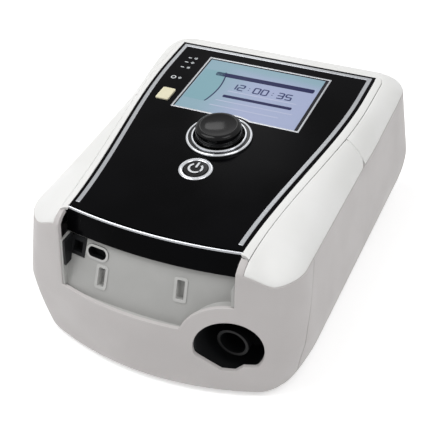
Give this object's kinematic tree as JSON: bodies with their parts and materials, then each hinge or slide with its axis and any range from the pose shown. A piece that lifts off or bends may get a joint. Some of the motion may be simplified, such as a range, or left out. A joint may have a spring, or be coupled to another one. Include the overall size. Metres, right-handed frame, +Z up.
{
  "type": "medical ventilator",
  "caption": "Low portable ventilator with a sloping black control panel, colour display, turning knob, front docking bay and side breathing outlet.",
  "frame": {"origin": "centre of the footprint, on the surface the feet stand on", "axes": "+Z up, the control panel slopes down towards the front, which faces -Y; +X is to the right seen from the front"},
  "size_m": [0.21, 0.2754, 0.1237],
  "materials": {
    "shell_grey": "fine moulded texture",
    "shell_white": "fine moulded texture",
    "panel_black": "high gloss",
    "bright_trim": "satin anodised",
    "bay_grey": "fine moulded texture",
    "slot_grey": "fine moulded texture",
    "socket_black": "moulded",
    "port_black": "smooth moulded",
    "silicone_dark": "moulded silicone",
    "display_glass": "hard coated clear window over a lit display",
    "module_steel": "pressed",
    "circuit_board": "solder mask",
    "steel": "machined",
    "knob_black": "high gloss",
    "part_black": "moulded",
    "chrome_ring": "polished",
    "key_cream": "smooth moulded",
    "lens_clear": "clear moulded",
    "grille_grey": "fine moulded texture",
    "filter_fleece": "pleated fleece",
    "brass_pins": "bright",
    "blower_grey": "moulded",
    "impeller_white": "moulded",
    "magnet": "sintered",
    "copper_winding": "wound enamelled wire on a laminated core",
    "duct_grey": "moulded",
    "foam": "open cell foam",
    "silicone_clear": "translucent silicone",
    "cable_grey": "flat cable",
    "foot_rubber": "moulded"
  },
  "bodies": {
    "housing": {"base_shell": "shell_grey", "top_shell": "shell_white", "side_cover_left": "shell_white", "side_cover_right": "shell_white", "control_panel": "panel_black", "panel_rim": "bright_trim", "front_lip": "panel_black", "dock_liner": "bay_grey", "hook_slots": "slot_grey", "dock_data_socket": "socket_black", "dock_power_socket": "socket_black", "outlet_cup": "socket_black", "outlet_port": "port_black", "outlet_seal": "silicone_dark", "display_frame": "bright_trim", "display_window": "display_glass", "lcd_module": "module_steel", "panel_board": "circuit_board", "panel_screws": "steel", "encoder_body": "module_steel", "knob_ring": "chrome_ring", "start_ring": "chrome_ring", "start_switch": "part_black", "mute_switch": "part_black", "status_lights": "lens_clear", "intake_frame": "grille_grey", "door_pin": "steel", "air_filter": "filter_fleece", "mains_inlet": "socket_black", "inlet_pins": "brass_pins", "power_board": "circuit_board", "power_parts": "part_black", "main_board": "circuit_board", "board_parts": "part_black", "buzzer": "part_black", "blower_base": "blower_grey", "blower_cover": "blower_grey", "stator": "copper_winding", "motor_bearings": "steel", "blower_mounts": "silicone_dark", "muffler_box": "duct_grey", "muffler_foam": "foam", "intake_duct": "duct_grey", "outlet_duct": "silicone_clear", "flow_sensor": "impeller_white", "pressure_tube": "silicone_clear", "ribbon_cable": "cable_grey", "port_hose": "silicone_clear", "rubber_feet": "foot_rubber", "housing_screws": "steel"},
    "plunger": {"encoder_plunger": "part_black"},
    "knob": {"knob_cap": "knob_black", "encoder_shaft": "steel"},
    "start_key": {"start_button": "knob_black"},
    "mute_key_body": {"mute_key": "key_cream"},
    "filter_door_body": {"filter_door": "grille_grey"},
    "rotor": {"impeller": "impeller_white", "motor_shaft": "steel", "rotor_magnet": "magnet"}
  },
  "joints": [
    {"name": "knob_press", "type": "slide", "parent": "housing", "child": "plunger", "axis": [0, 0.0349, -0.9994], "range_m": [0, 0.0008], "stiffness_N_per_m": 2500, "springref_m": -0.0008},
    {"name": "knob_spin", "type": "hinge", "parent": "plunger", "child": "knob", "pos_m": [0, -0.00466, 0.11724], "axis": [0, -0.0349, 0.9994], "continuous": true},
    {"name": "start_press", "type": "slide", "parent": "housing", "child": "start_key", "axis": [0, 0.0349, -0.9994], "range_m": [0, 0.0006], "stiffness_N_per_m": 2500, "springref_m": -0.0006},
    {"name": "mute_press", "type": "slide", "parent": "housing", "child": "mute_key_body", "axis": [0, 0.0349, -0.9994], "range_m": [0, 0.0006], "stiffness_N_per_m": 2500, "springref_m": -0.0006},
    {"name": "filter_door_hinge", "type": "hinge", "parent": "housing", "child": "filter_door_body", "pos_m": [-0.045, 0.13215, 0.0274], "axis": [-1, 0, 0], "range_deg": [0, 90]},
    {"name": "blower_spin", "type": "hinge", "parent": "housing", "child": "rotor", "pos_m": [0.027, 0.032, 0.0437], "axis": [0, 0, 1], "continuous": true}
  ]
}
